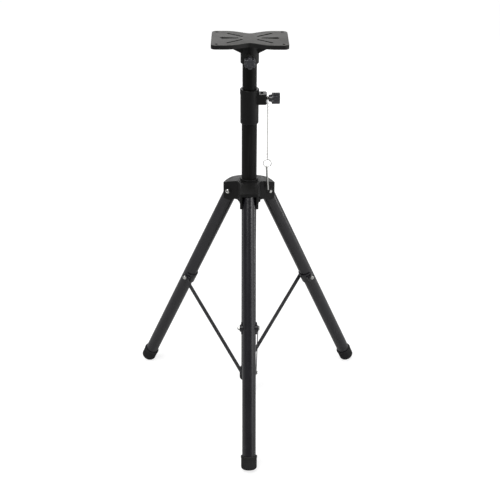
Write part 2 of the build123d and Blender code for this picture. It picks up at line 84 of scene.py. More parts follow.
def makeCamera(c):
    data = bpy.data.cameras.new("standCamera")
    data.lens, data.sensor_width = c["lens"], 36.0
    data.dof.use_dof = False
    data.clip_start, data.clip_end = 0.05, 60
    obj = linked(bpy.data.objects.new("standCamera", data))
    azimuth, pitch, roll = radians(c["azimuth"]), radians(c["pitch"]), radians(c["roll"])
    heading = azimuth + radians(c["pan"])
    forward = Vector((-sin(heading) * cos(pitch), cos(heading) * cos(pitch), -sin(pitch)))
    right = Vector((cos(heading), sin(heading), 0))
    up = right.cross(forward)
    tiltedRight = right * cos(roll) + up * sin(roll)
    tiltedUp = up * cos(roll) - right * sin(roll)
    turn = Matrix((tiltedRight, tiltedUp, -forward)).transposed().to_4x4()
    place = Vector((c["distance"] * sin(azimuth), -c["distance"] * cos(azimuth), c["height"]))
    obj.matrix_world = Matrix.Translation(place) @ turn
    bpy.context.scene.camera = obj


makeCamera(camera)
print("camera placed")

# shader groups


def newGroup(name, inputs, outputs):
    group = bpy.data.node_groups.new(name, "ShaderNodeTree")
    for label, kind, value in inputs:
        socket = group.interface.new_socket(name=label, in_out="INPUT", socket_type=kind)
        if value is not None:
            socket.default_value = value
    for label, kind in outputs:
        group.interface.new_socket(name=label, in_out="OUTPUT", socket_type=kind)
    return group, group.nodes.new("NodeGroupInput"), group.nodes.new("NodeGroupOutput")


def feed(tree, socket, value):
    # an input takes a link from another socket, or a plain value
    if isinstance(value, bpy.types.NodeSocket):
        tree.links.new(value, socket)
    else:
        socket.default_value = value


def add(tree, kind, links=None, **settings):
    # a node with its properties set and its inputs fed
    node = tree.nodes.new(kind)
    for key, value in settings.items():
        setattr(node, key, value)
    for key, value in (links or {}).items():
        feed(tree, node.inputs[key], value)
    return node


def reckon(tree, operation, a, b=0.0, clamp=False):
    node = add(tree, "ShaderNodeMath", {0: a, 1: b}, operation=operation)
    node.use_clamp = clamp
    return node.outputs[0]


def spread(tree, value, low, high, toLow=0.0, toHigh=1.0):
    node = add(tree, "ShaderNodeMapRange", {
        "Value": value, "From Min": low, "From Max": high, "To Min": toLow, "To Max": toHigh})
    return node.outputs[0]


def noise(tree, vector, scale, detail=2.0, roughness=0.5):
    return add(tree, "ShaderNodeTexNoise", {
        "Vector": vector, "Scale": scale, "Detail": detail, "Roughness": roughness}).outputs["Fac"]


def makeWornEdge():
    # 1 along convex edges, broken up by noise
    group, given, out = newGroup("wornEdge", [
        ("Vector", "NodeSocketVector", None), ("Width", "NodeSocketFloat", 0.0006),
        ("Patches", "NodeSocketFloat", 60.0), ("Amount", "NodeSocketFloat", 0.5)],
        [("Mask", "NodeSocketFloat")])
    bevel = add(group, "ShaderNodeBevel", {"Radius": given.outputs["Width"]}, samples=4)
    flat = add(group, "ShaderNodeNewGeometry")
    dot = add(group, "ShaderNodeVectorMath", {0: bevel.outputs[0], 1: flat.outputs["Normal"]},
              operation="DOT_PRODUCT")
    edge = spread(group, dot.outputs["Value"], 0.995, 0.86)
    blotches = noise(group, given.outputs["Vector"], given.outputs["Patches"], 4.0)
    patchy = spread(group, blotches, 0.42, 0.62)
    broken = reckon(group, "MULTIPLY", edge, patchy)
    mask = reckon(group, "MULTIPLY", broken, given.outputs["Amount"], True)
    group.links.new(mask, out.inputs["Mask"])
    return group


def makeGrain():
    # fine moulded or sprayed texture: a height, and a slow cloudiness
    group, given, out = newGroup("surfaceGrain", [
        ("Vector", "NodeSocketVector", None), ("Fine", "NodeSocketFloat", 900.0),
        ("Cloud", "NodeSocketFloat", 14.0)],
        [("Height", "NodeSocketFloat"), ("Clouds", "NodeSocketFloat")])
    fine = noise(group, given.outputs["Vector"], given.outputs["Fine"], 2.0)
    cells = add(group, "ShaderNodeTexVoronoi", {
        "Vector": given.outputs["Vector"], "Scale": given.outputs["Fine"]}, feature="SMOOTH_F1")
    height = reckon(group, "ADD", reckon(group, "MULTIPLY", fine, 0.6),
                  reckon(group, "MULTIPLY", cells.outputs["Distance"], 0.4))
    group.links.new(height, out.inputs["Height"])
    group.links.new(noise(group, given.outputs["Vector"], given.outputs["Cloud"], 5.0, 0.6),
                    out.inputs["Clouds"])
    return group


dustAndSheenPatches = {"scale": 60.0, "detail": 6.0, "roughness": 0.65}


def makeDust():
    # a mask on what faces up, in soft patches: resting dust, and on the speaker plate also a painted sheen
    # of the light its top catches
    group, given, out = newGroup("restingDustAndSheen", [
        ("Vector", "NodeSocketVector", None), ("Amount", "NodeSocketFloat", 0.2)],
        [("Mask", "NodeSocketFloat")])
    normal = add(group, "ShaderNodeNewGeometry").outputs["Normal"]
    up = add(group, "ShaderNodeSeparateXYZ", {0: normal}).outputs["Z"]
    upward = spread(group, up, 0.35, 1.0)
    blotches = noise(group, given.outputs["Vector"], dustAndSheenPatches["scale"], dustAndSheenPatches["detail"],
                     dustAndSheenPatches["roughness"])
    patchy = spread(group, blotches, 0.25, 0.75, 0.25, 0.75)
    settled = reckon(group, "MULTIPLY", upward, patchy)
    mask = reckon(group, "MULTIPLY", settled, given.outputs["Amount"], True)
    group.links.new(mask, out.inputs["Mask"])
    return group


def makeScuffs():
    # long thin rubbed marks, drawn out along Z
    group, given, out = newGroup("rubMarks", [
        ("Vector", "NodeSocketVector", None), ("Scale", "NodeSocketFloat", 120.0),
        ("Stretch", "NodeSocketFloat", 0.05)],
        [("Mask", "NodeSocketFloat")])
    size = add(group, "ShaderNodeCombineXYZ", {0: 1.0, 1: 1.0, 2: given.outputs["Stretch"]})
    drawn = add(group, "ShaderNodeVectorMath", {0: given.outputs["Vector"], 1: size.outputs[0]},
                operation="MULTIPLY")
    marks = spread(group, noise(group, drawn.outputs[0], given.outputs["Scale"], 5.0, 0.7), 0.55, 0.75)
    group.links.new(marks, out.inputs["Mask"])
    return group


wornEdge, surfaceGrain, restingDustAndSheen, rubMarks = makeWornEdge(), makeGrain(), makeDust(), makeScuffs()
print("shader groups built")

# materials: colours are linear, rough runs from the smoothest to the roughest spot, bump is in metres

# pale grey laid over the upward mask: dust, and on the speaker plate a painted sheen
dustAndSheenColour = (0.16, 0.155, 0.145)
wear = {"width": 0.0007, "patches": 90.0}       # rubbed edges
rub = {"scale": 140.0, "stretch": 0.04, "polish": 0.5}
cloudScale, dustAndSheenRoughness, coatRoughness = 16.0, 0.25, 0.18
finishes = {
    "mastPaint": {
        "dark": (0.0024, 0.0022, 0.0019), "light": (0.0042, 0.0039, 0.0034),
        "rough": (0.34, 0.44), "fine": 1300,
        "bump": 0.00002, "worn": (0.10, 0.10, 0.10), "edge": 0.5, "scuff": 0.10,
        "dustAndSheen": 0.03, "coat": 0.0, "gloss": 0.22},
    "polePaint": {
        "dark": (0.0018, 0.0018, 0.0015), "light": (0.0032, 0.0032, 0.0027),
        "rough": (0.30, 0.40), "fine": 1500,
        "bump": 0.000015, "worn": (0.09, 0.09, 0.09), "edge": 0.5, "scuff": 0.25,
        "dustAndSheen": 0.02, "coat": 0.0, "gloss": 0.18},
    "legPaint": {
        "dark": (0.0058, 0.0052, 0.0082), "light": (0.0100, 0.0090, 0.0132),
        "rough": (0.24, 0.33), "fine": 1200,
        "bump": 0.00002, "worn": (0.12, 0.12, 0.12), "edge": 0.5, "scuff": 0.12,
        "dustAndSheen": 0.05, "coat": 0.3, "gloss": 0.62},
    "strutPaint": {
        "dark": (0.020, 0.020, 0.023), "light": (0.032, 0.032, 0.036),
        "rough": (0.36, 0.5), "fine": 1000,
        "bump": 0.00002, "worn": (0.2, 0.2, 0.2), "edge": 0.9, "scuff": 0.10,
        "dustAndSheen": 0.05, "coat": 0.1, "gloss": 0.5},
    # its large dust amount is partly real dust and partly a painted sheen that makes the top lighter than
    # the skirt
    "plateCoat": {
        "dark": (0.0030, 0.0029, 0.0028), "light": (0.0060, 0.0058, 0.0055),
        "rough": (0.42, 0.55), "fine": 1500,
        "bump": 0.00006, "worn": (0.06, 0.06, 0.058), "edge": 0.6, "scuff": 0.05,
        "dustAndSheen": 0.85, "coat": 0.0, "gloss": 0.38},
    "mouldedPlastic": {
        "dark": (0.0026, 0.0026, 0.0026), "light": (0.0056, 0.0056, 0.0058),
        "rough": (0.38, 0.5), "fine": 1700,
        "bump": 0.00004, "worn": (0.07, 0.07, 0.07), "edge": 0.55, "scuff": 0.06,
        "dustAndSheen": 0.07, "coat": 0.0, "gloss": 0.3},
    "knobPlastic": {
        "dark": (0.020, 0.021, 0.026), "light": (0.036, 0.037, 0.044),
        "rough": (0.20, 0.32), "fine": 1500,
        "bump": 0.00003, "worn": (0.09, 0.09, 0.1), "edge": 0.7, "scuff": 0.05,
        "dustAndSheen": 0.12, "coat": 0.0, "gloss": 0.9},
    "footRubber": {
        "dark": (0.009, 0.009, 0.0098), "light": (0.017, 0.017, 0.0178),
        "rough": (0.62, 0.8), "fine": 1100,
        "bump": 0.00007, "worn": (0.05, 0.05, 0.048), "edge": 0.5, "scuff": 0.20,
        "dustAndSheen": 0.22, "coat": 0.0, "gloss": 0.35},
}
metals = {
    "brightSteel": {
        "dark": (0.56, 0.56, 0.54), "light": (0.86, 0.86, 0.83),
        "rough": (0.16, 0.34), "fine": 2600, "bump": 0.00001, "worn": (0.9, 0.9, 0.88), "edge": 0.5},
    "screwSteel": {
        "dark": (0.32, 0.31, 0.28), "light": (0.62, 0.61, 0.57),
        "rough": (0.28, 0.45), "fine": 2200, "bump": 0.00002, "worn": (0.75, 0.75, 0.72), "edge": 0.7},
    "darkSteel": {
        "dark": (0.035, 0.035, 0.037), "light": (0.07, 0.07, 0.072),
        "rough": (0.34, 0.5), "fine": 2000, "bump": 0.00002, "worn": (0.35, 0.35, 0.34), "edge": 0.9},
}
materials = {}


def mixed(tree, factor, a, b):
    node = add(tree, "ShaderNodeMix", data_type="RGBA")
    tree.links.new(factor, node.inputs["Factor"])
    colours = [socket for socket in node.inputs if socket.type == "RGBA"]
    for socket, value in zip(colours, (a, b)):
        feed(tree, socket, (*value, 1) if isinstance(value, tuple) else value)
    return next(socket for socket in node.outputs if socket.type == "RGBA")


def grouped(tree, group, links):
    return add(tree, "ShaderNodeGroup", links, node_tree=group)


def makeFinish(name, f, metallic=0.0):
    material = bpy.data.materials.new(name)
    material.use_nodes = True
    tree = material.node_tree
    shader = tree.nodes["Principled BSDF"]
    place = tree.nodes.new("ShaderNodeTexCoord").outputs["Object"]
    grain = grouped(tree, surfaceGrain, {"Vector": place, "Fine": f["fine"], "Cloud": cloudScale})
    clouds = spread(tree, grain.outputs["Clouds"], 0.3, 0.7)
    worn = grouped(tree, wornEdge, {
        "Vector": place, "Width": wear["width"], "Patches": wear["patches"], "Amount": f["edge"]})
    colour = mixed(tree, clouds, f["dark"], f["light"])
    rough = spread(tree, clouds, 0.0, 1.0, *f["rough"])
    if f.get("scuff"):
        marks = grouped(tree, rubMarks, {
            "Vector": place, "Scale": rub["scale"], "Stretch": rub["stretch"]})
        rubbed = reckon(tree, "MULTIPLY", marks.outputs["Mask"], f["scuff"])
        colour = mixed(tree, rubbed, colour, f["worn"])
        rough = reckon(tree, "SUBTRACT", rough, reckon(tree, "MULTIPLY", rubbed, rub["polish"]))
    colour = mixed(tree, worn.outputs["Mask"], colour, f["worn"])
    # dust on upward faces, which on the speaker plate also paints a sheen of caught light on the top
    if f.get("dustAndSheen"):
        dustAndSheen = grouped(tree, restingDustAndSheen, {"Vector": place, "Amount": f["dustAndSheen"]})
        colour = mixed(tree, dustAndSheen.outputs["Mask"], colour, dustAndSheenColour)
        dulled = reckon(tree, "MULTIPLY", dustAndSheen.outputs["Mask"], dustAndSheenRoughness)
        rough = reckon(tree, "ADD", rough, dulled, True)
    tree.links.new(colour, shader.inputs["Base Color"])
    tree.links.new(rough, shader.inputs["Roughness"])
    bump = add(tree, "ShaderNodeBump", {
        "Height": grain.outputs["Height"], "Distance": f["bump"], "Strength": 1.0})
    tree.links.new(bump.outputs[0], shader.inputs["Normal"])
    shader.inputs["Metallic"].default_value = metallic
    shader.inputs["Specular IOR Level"].default_value = f.get("gloss", 0.5)
    shader.inputs["Coat Weight"].default_value = f.get("coat", 0.0)
    shader.inputs["Coat Roughness"].default_value = coatRoughness
    materials[name] = material


for name, finish in finishes.items():
    makeFinish(name, finish)
for name, finish in metals.items():
    makeFinish(name, finish, 1.0)
print("materials:", ", ".join(materials))

# mesh helpers


def meshPiece(name, mesh, material, body, *nodes):
    obj = linked(bpy.data.objects.new(name, mesh))
    mesh.materials.clear()
    mesh.materials.append(materials[material])
    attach(obj, body)
    if nodes:
        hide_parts(*nodes)
    return obj


def smoothed(mesh, angle=32):
    mesh.shade_smooth()
    mesh.set_sharp_from_angle(angle=radians(angle))
    return mesh


def ringMesh(name, rings, closed=False, angle=32):
    # skin over rings of equally many points; the ends are capped, or the last ring meets the first
    bm = bmesh.new()
    rows = [[bm.verts.new(point) for point in ring] for ring in rings]
    count = len(rows[0])
    pairs = list(zip(rows, rows[1:])) + ([(rows[-1], rows[0])] if closed else [])
    for one, two in pairs:
        for i in range(count):
            j = (i + 1) % count
            bm.faces.new((one[i], one[j], two[j], two[i]))
    if not closed:
        bm.faces.new(rows[0])
        bm.faces.new(rows[-1])
    bmesh.ops.recalc_face_normals(bm, faces=bm.faces)
    mesh = bpy.data.meshes.new(name)
    bm.to_mesh(mesh)
    bm.free()
    return smoothed(mesh, angle)


def turnedRings(outline, count=48):
    # outline holds (height, radius) pairs, where a radius may be a function of the angle
    rings = []
    for height, radius in outline:
        ring = []
        for i in range(count):
            angle = 2 * pi * i / count
            r = radius(angle) if callable(radius) else radius
            ring.append(Vector((r * cos(angle), r * sin(angle), height)))
        rings.append(ring)
    return rings


def hexagon(flats, roundTo):
    # radius of a hexagon at an angle, its corners held inside roundTo
    def radius(angle):
        away = (angle + pi / 6) % (pi / 3) - pi / 6
        return min(flats / 2 / cos(away), roundTo)
    return radius


def frameAlong(origin, axis, side=None):
    # matrix that takes local Z to axis at origin
    z = Vector(axis).normalized()
    x = Vector(side) if side else (sideways if abs(z.x) < 0.9 else Vector((0, 1, 0)))
    x = (x - z * x.dot(z)).normalized()
    turn = Matrix((x, z.cross(x), z)).transposed().to_4x4()
    return Matrix.Translation(Vector(origin)) @ turn


def span(node, origin, axis):
    # lowest and highest point of a CAD node along an axis, and its largest distance from it
    z, start = Vector(axis).normalized(), Vector(origin)
    along, away = [], []
    for vertex in frame["nodes"][node].data.vertices:
        offset = vertex.co - start
        along.append(offset.dot(z))
        away.append((offset - z * offset.dot(z)).length)
    return min(along), max(along), max(away)


def bakedModifiers(obj):
    # the evaluated mesh as a plain one, with the object thrown away
    evaluated = obj.evaluated_get(bpy.context.evaluated_depsgraph_get())
    mesh = bpy.data.meshes.new_from_object(evaluated)
    bpy.data.objects.remove(obj)
    return mesh


def softened(node, material, width, name=None):
    # a copy of a CAD node with its edges rounded as moulding, casting or stamping leaves them
    bm = bmesh.new()
    bm.from_mesh(frame["nodes"][node].data)
    bmesh.ops.remove_doubles(bm, verts=bm.verts, dist=2e-6)
    bmesh.ops.dissolve_limit(bm, angle_limit=radians(0.4), verts=bm.verts, edges=bm.edges)
    name = name or node + "Soft"
    mesh = bpy.data.meshes.new(name)
    bm.to_mesh(mesh)
    bm.free()
    obj = linked(bpy.data.objects.new("working", smoothed(mesh, 30)))
    bevel = obj.modifiers.new("edges", "BEVEL")
    bevel.width, bevel.segments, bevel.limit_method = width, 2, "ANGLE"
    bevel.angle_limit, bevel.use_clamp_overlap = radians(38), True
    bevel.harden_normals = True
    flatter = obj.modifiers.new("evenShading", "WEIGHTED_NORMAL")
    flatter.keep_sharp, flatter.weight = True, 80
    finished = bakedModifiers(obj)
    finished.name = name
    return meshPiece(name, finished, material, frame["nodes"][node]["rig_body"], node)


def wireLoop(points, radius, sides):
    # rings of a round wire along a closed line of points, carried without twist
    rings, count, normal = [], len(points), None
    for i, point in enumerate(points):
        tangent = (points[(i + 1) % count] - points[(i - 1) % count]).normalized()
        if normal is None:
            normal = tangent.orthogonal().normalized()
        normal = (normal - tangent * normal.dot(tangent)).normalized()
        other = tangent.cross(normal)
        turns = [2 * pi * k / sides for k in range(sides)]
        rings.append([point + normal * (radius * cos(turn)) + other * (radius * sin(turn))
                      for turn in turns])
    return rings


# geometry nodes helpers


def newTree(name, inputs):
    tree = bpy.data.node_groups.new(name, "GeometryNodeTree")
    tree.interface.new_socket(name="Geometry", in_out="INPUT", socket_type="NodeSocketGeometry")
    for label, kind in inputs:
        tree.interface.new_socket(name=label, in_out="INPUT", socket_type=kind)
    tree.interface.new_socket(name="Geometry", in_out="OUTPUT", socket_type="NodeSocketGeometry")
    return tree, tree.nodes.new("NodeGroupInput"), tree.nodes.new("NodeGroupOutput")


def grown(name, tree, values, start=None):
    # runs a tree on a mesh or a curve with its inputs filled by name, and returns the plain mesh
    base = start or linked(bpy.data.objects.new(name + "Base", bpy.data.meshes.new(name + "Base")))
    modifier = base.modifiers.new("grow", "NODES")
    modifier.node_group = tree
    for item in tree.interface.items_tree:
        if item.in_out == "INPUT" and item.name in values:
            modifier[item.identifier] = values[item.name]
    mesh = bakedModifiers(base)
    mesh.name = name
    return smoothed(mesh)


print("helpers ready")

# safety chain: oval wire links threaded along its hanging line

chain = {
    "diameter": 0.0026, "linkWidth": 0.0040, "linkLength": 0.0056, "wire": 0.00065, "pitch": 0.0041,
    "loopSteps": 16, "wireSides": 8,
    "route": ((0.04425, -0.0024, 0.8595), (0.04465, -0.0052, 0.7995), (0.04525, -0.008, 0.7128)),
}


def chainCurve():
    data = bpy.data.curves.new("chainLine", "CURVE")
    data.dimensions = "3D"
    data.resolution_u = 48
    spline = data.splines.new("NURBS")
    spline.points.add(len(chain["route"]) - 1)
    for point, place in zip(spline.points, chain["route"]):
        point.co = (*place, 1)
    spline.order_u = 3
    spline.use_endpoint_u = True
    return linked(bpy.data.objects.new("chainLine", data))


def chainTree():
    tree, given, out = newTree("chainLinks", [
        ("Links", "NodeSocketInt"), ("Link length", "NodeSocketFloat"),
        ("Link width", "NodeSocketFloat"), ("Wire radius", "NodeSocketFloat"),
        ("Material", "NodeSocketMaterial")])
    spaced = add(tree, "GeometryNodeResampleCurve", {"Curve": given.outputs["Geometry"],
                                                     "Count": given.outputs["Links"]}, mode="COUNT")
    half = reckon(tree, "MULTIPLY", given.outputs["Link width"], 0.5)
    loopRadius = reckon(tree, "SUBTRACT", half, given.outputs["Wire radius"])
    stretch = reckon(tree, "SUBTRACT", given.outputs["Link length"], given.outputs["Link width"])
    halfStretch = reckon(tree, "MULTIPLY", stretch, 0.5)
    loop = add(tree, "GeometryNodeCurvePrimitiveCircle", {
        "Resolution": chain["loopSteps"], "Radius": loopRadius})
    at = add(tree, "GeometryNodeInputPosition")
    parted = add(tree, "ShaderNodeSeparateXYZ", {0: at.outputs[0]})
    side = reckon(tree, "SIGN", parted.outputs["X"])
    push = add(tree, "ShaderNodeCombineXYZ", {0: reckon(tree, "MULTIPLY", side, halfStretch)})
    oval = add(tree, "GeometryNodeSetPosition", {
        "Geometry": loop.outputs["Curve"], "Offset": push.outputs[0]})
    wire = add(tree, "GeometryNodeCurvePrimitiveCircle", {
        "Resolution": chain["wireSides"], "Radius": given.outputs["Wire radius"]})
    link = add(tree, "GeometryNodeCurveToMesh", {
        "Curve": oval.outputs[0], "Profile Curve": wire.outputs[0]})
    tangent = add(tree, "GeometryNodeInputTangent")
    along = add(tree, "FunctionNodeAlignRotationToVector", {"Vector": tangent.outputs[0]}, axis="X")
    index = add(tree, "GeometryNodeInputIndex")
    quarter = reckon(tree, "MULTIPLY", index.outputs[0], radians(90))
    roll = add(tree, "FunctionNodeAxisAngleToRotation", {"Axis": (1, 0, 0), "Angle": quarter})
    turned = add(tree, "FunctionNodeRotateRotation", {
        "Rotation": along.outputs[0], "Rotate By": roll.outputs[0]}, rotation_space="LOCAL")
    points = add(tree, "GeometryNodeInstanceOnPoints", {
        "Points": spaced.outputs[0], "Instance": link.outputs[0], "Rotation": turned.outputs[0]})
    real = add(tree, "GeometryNodeRealizeInstances", {"Geometry": points.outputs[0]})
    dressed = add(tree, "GeometryNodeSetMaterial", {"Geometry": real.outputs[0],
                                                    "Material": given.outputs["Material"]})
    tree.links.new(dressed.outputs[0], out.inputs[0])
    return tree


def makeChain():
    line = chainCurve()
    read = bpy.data.meshes.new_from_object(line.evaluated_get(bpy.context.evaluated_depsgraph_get()))
    path = [vertex.co.copy() for vertex in read.vertices]
    length = sum((b - a).length for a, b in zip(path, path[1:]))
    mesh = grown("chainLinks", chainTree(), {
        "Links": round(length / chain["pitch"]) + 1, "Link length": chain["linkLength"],
        "Link width": chain["linkWidth"], "Wire radius": chain["wire"],
        "Material": materials["screwSteel"]}, start=line)
    links = meshPiece("chainLinks", mesh, "screwSteel", "mast", "safety_chain")
    print("chain", round(length * 1000, 1), "mm,", len(mesh.polygons), "faces")
    return links, path, length


chainLinks, chainPath, chainLength = makeChain()

# split ring: two turns of flat wire, and the closed wire eye on the clamp screw

ring = {
    "radius": 0.0100, "wire": 0.0008, "gap": 0.00004, "turns": 2, "steps": 60, "openSteps": 3,
    "startsAt": 35, "crossFrom": 0.44, "crossOver": 0.12, "tip": 0.6, "sides": 10,
}
eye = {"wire": 0.0008, "steps": 40, "sides": 12}


def middle(node):
    low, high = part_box(node)
    return (Vector(low) + Vector(high)) / 2


def makeSplitRing():
    centre, steps, wire, sides = middle("split_ring"), ring["steps"], ring["wire"], ring["sides"]
    half, total = wire / 2, ring["turns"] * ring["steps"]
    points = []
    for i in range(total - ring["openSteps"]):
        angle = 2 * pi * i / steps + radians(ring["startsAt"])
        # each turn keeps its own side and crosses over in a short stretch
        cross = min(1, max(0, (i / total - ring["crossFrom"]) / ring["crossOver"]))
        offset = (cross * cross * (3 - 2 * cross) * 2 - 1) * (half + ring["gap"])
        spot = Vector((ring["radius"] * cos(angle), offset, ring["radius"] * sin(angle)))
        points.append(centre + spot)
    rings = []
    for i, point in enumerate(points):
        out = point - centre
        out.y = 0
        out.normalize()
        lean = ring["tip"] if i in (0, len(points) - 1) else 1
        turns = [2 * pi * k / sides for k in range(sides)]
        rings.append([point + out * (wire * lean * cos(turn)) + Vector((0, half * lean * sin(turn), 0))
                      for turn in turns])
    mesh = ringMesh("splitRing", rings, angle=50)
    return meshPiece("splitRing", mesh, "brightSteel", "mast", "split_ring")


def makeEye():
    low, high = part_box("chain_eye")
    centre = middle("chain_eye")
    radius = (high[2] - low[2]) / 2 - eye["wire"]
    steps = eye["steps"]
    points = [centre + Vector((0, radius * cos(2 * pi * i / steps), radius * sin(2 * pi * i / steps)))
              for i in range(steps)]
    mesh = ringMesh("chainEye", wireLoop(points, eye["wire"], eye["sides"]), closed=True)
    return meshPiece("chainEye", mesh, "brightSteel", "mast", "chain_eye")


splitRing, chainEye = makeSplitRing(), makeEye()
softened("safety_pin", "brightSteel", 0.0004, name="safetyPin")
print("split ring, eye and pin")

# star knobs: neck, six soft lobes, domed edge and a recessed cap

knob = {
    "radius": 0.014, "lobes": 6, "groove": 0.0046, "grooveCentre": 0.016, "blend": 0.0011,
    "neckHeight": 0.0075, "neckFoot": 0.008, "neckTop": 0.0095, "length": 0.0275,
    "edge": 0.0021, "capRadius": 0.0073,
    "capDepth": 0.0007, "steps": 120, "beyond": 0.004, "edgeSteps": 6,
    "underside": ((0.0, 0.0011), (0.0003, 0.0004), (0.0009, 0.0)),      # height over the neck, inset
}
knobs = {"plate": ("plate_knob_turn", "plate_clamp"), "collar": ("height_knob_turn", "height_clamp"),
         "hub_lock": ("hub_knob_turn", "hub_clamp")}


def starRadius(angle, inset=0.0):
    # distance to the outline, with each groove's corners run softly into the lobe
    step = 2 * pi / knob["lobes"]
    away = (angle + step / 2) % step - step / 2
    centre, groove = knob["grooveCentre"], knob["groove"] + inset
    outer = knob["radius"] - inset
    reach = groove ** 2 - (centre * sin(away)) ** 2
    if reach <= 0 or abs(away) > pi / 2:
        inner = outer + knob["beyond"]
    else:
        inner = centre * cos(away) - sqrt(reach)
    k = knob["blend"]
    h = max(k - abs(inner - outer), 0) / k
    return min(inner, outer) - h * h * k / 4


def starAt(inset):
    return lambda angle: starRadius(angle, inset)


def makeKnob(name, jointName, body):
    joint = joints[jointName]
    length, edge, under = knob["length"], knob["edge"], knob["neckHeight"]
    neckFoot, neckTop = knob["neckFoot"], knob["neckTop"]
    outline = [(0.0, neckFoot - 0.0004), (0.0003, neckFoot), (under - 0.0009, neckTop),
               (under - 0.0003, neckTop + 0.0002)]
    for rise, inset in knob["underside"]:
        outline.append((under + rise, starAt(inset)))
    for share in (0.25, 0.5, 0.75):
        outline.append((under + rise + (length - edge - under - rise) * share, starAt(0.0)))
    for i in range(knob["edgeSteps"] + 1):
        t = pi / 2 * i / knob["edgeSteps"]
        outline.append((length - edge + edge * sin(t), starAt(edge * (1 - cos(t)))))
    cap, depth = knob["capRadius"], knob["capDepth"]
    outline += [(length, cap + 0.0003), (length - 0.0002, cap), (length - depth, cap - 0.0001),
                (length - depth, cap - 0.0006), (length - depth + 0.0003, cap - 0.0009),
                (length - depth + 0.0005, 0.003), (length - depth + 0.00055, 0.0008)]
    mesh = ringMesh(name + "KnobMesh", turnedRings(outline, knob["steps"]), angle=38)
    mesh.transform(frameAlong(joint["pos_m"], joint["axis"]))
    return meshPiece(name + "Knob", mesh, "knobPlastic", body, name + "_knob")


for name, (jointName, body) in knobs.items():
    makeKnob(name, jointName, body)
print("star knobs")

# clamp screws with a real M8 thread

thread = {
    "radius": 0.0040, "pitch": 0.00125, "depth": 0.00062, "steps": 32, "perPitch": 6,
    "point": 0.0010, "pointDepth": 0.0012,
}


def threadRadius(phase):
    # trapezoid thread profile: crest, flank, root, flank
    p = phase % 1.0
    if p < 0.2:
        return 0.0
    if p < 0.5:
        return (p - 0.2) / 0.3
    if p < 0.7:
        return 1.0
    return (1.0 - p) / 0.3


def makeScrew(name, jointName, body):
    joint = joints[jointName]
    low, high, _ = span(name + "_screw", joint["pos_m"], joint["axis"])
    place = frameAlong(joint["pos_m"], joint["axis"])
    count, step = thread["steps"], thread["pitch"] / thread["perPitch"]
    levels = int((high - low) / step)
    rings = []
    for n in range(levels + 1):
        z = low + (high - low) * n / levels
        taper = max(0.0, 1 - (z - low) / thread["point"])
        ring = []
        for i in range(count):
            angle = 2 * pi * i / count
            cut = thread["depth"] * threadRadius(z / thread["pitch"] + i / count)
            r = thread["radius"] - max(cut, taper * thread["pointDepth"])
            ring.append(Vector((r * cos(angle), r * sin(angle), z)))
        rings.append(ring)
    mesh = ringMesh(name + "ScrewMesh", rings, angle=60)
    mesh.transform(place)
    return meshPiece(name + "ScrewThreaded", mesh, "screwSteel", body, name + "_screw")


for name, (jointName, body) in knobs.items():
    makeScrew(name, jointName, body)
print("clamp screws")

# rubber feet: rim band, shallow grooves up the side and a treaded sole

foot = {
    "tubeRadius": 0.0173, "radius": 0.0199, "rim": 0.0009, "rimHeight": 0.005, "round": 0.008,
    "ribs": 36, "ribDepth": 0.00045, "sole": 0.0052, "steps": 144,
    "treadRings": (0.0095, 0.0065, 0.0035), "treadDepth": 0.0007,
}
legSpread = radians(25.6)


def legAxes(name):
    # pivot of a leg, the way outwards from the mast and the way across the leg
    pivot = Vector(joints[name + "_leg_fold"]["pos_m"])
    outward = Vector((pivot.x, pivot.y, 0)).normalized()
    return pivot, outward, upwards.cross(outward)


def legFrame(name):
    # pivot, way down the leg, and matrix with local Z down the leg from its pivot
    pivot, outward, _ = legAxes(name)
    down = outward * sin(legSpread) - upwards * cos(legSpread)
    return pivot, down, frameAlong(pivot, down, outward)


def grooved(angle):
    return foot["radius"] - foot["ribDepth"] * (0.5 - 0.5 * cos(foot["ribs"] * angle)) ** 3


def makeFoot(name):
    pivot, down, place = legFrame(name)
    low, high, _ = span(name + "_leg_foot", pivot, down)
    r, inside, curve = foot["radius"], foot["tubeRadius"], foot["round"]
    rim, rimEnd, flat = r + foot["rim"], low + foot["rimHeight"], r - curve
    outline = [(high - foot["sole"], 0.002), (high - foot["sole"], inside), (low + 0.0004, inside),
               (low, inside + 0.0005), (low, rim - 0.0008), (low + 0.0002, rim - 0.0002),
               (low + 0.0009, rim), (rimEnd - 0.0009, rim), (rimEnd - 0.0002, rim - 0.0003),
               (rimEnd, r), (rimEnd + 0.0012, r)]
    top, bottom = rimEnd + 0.0024, high - curve - 0.002
    outline += [(top + (bottom - top) * i / 6, grooved) for i in range(7)]
    outline.append((high - curve, r))
    for i in range(1, 9):
        t = pi / 2 * i / 8
        outline.append((high - curve + curve * sin(t), flat + curve * cos(t)))
    sunk = high - foot["treadDepth"]
    for tread in foot["treadRings"]:
        outline += [(high, tread + 0.0008), (sunk, tread + 0.0005), (sunk, tread - 0.0005),
                    (high, tread - 0.0008)]
    outline.append((high, 0.0012))
    mesh = ringMesh(name + "FootMesh", turnedRings(outline, foot["steps"]), angle=35)
    mesh.transform(place)
    return meshPiece(name + "Foot", mesh, "footRubber", name + "_leg", name + "_leg_foot")


for name in legNames:
    makeFoot(name)
print("rubber feet")

# bolts with a domed button head and a hex socket, and their nuts

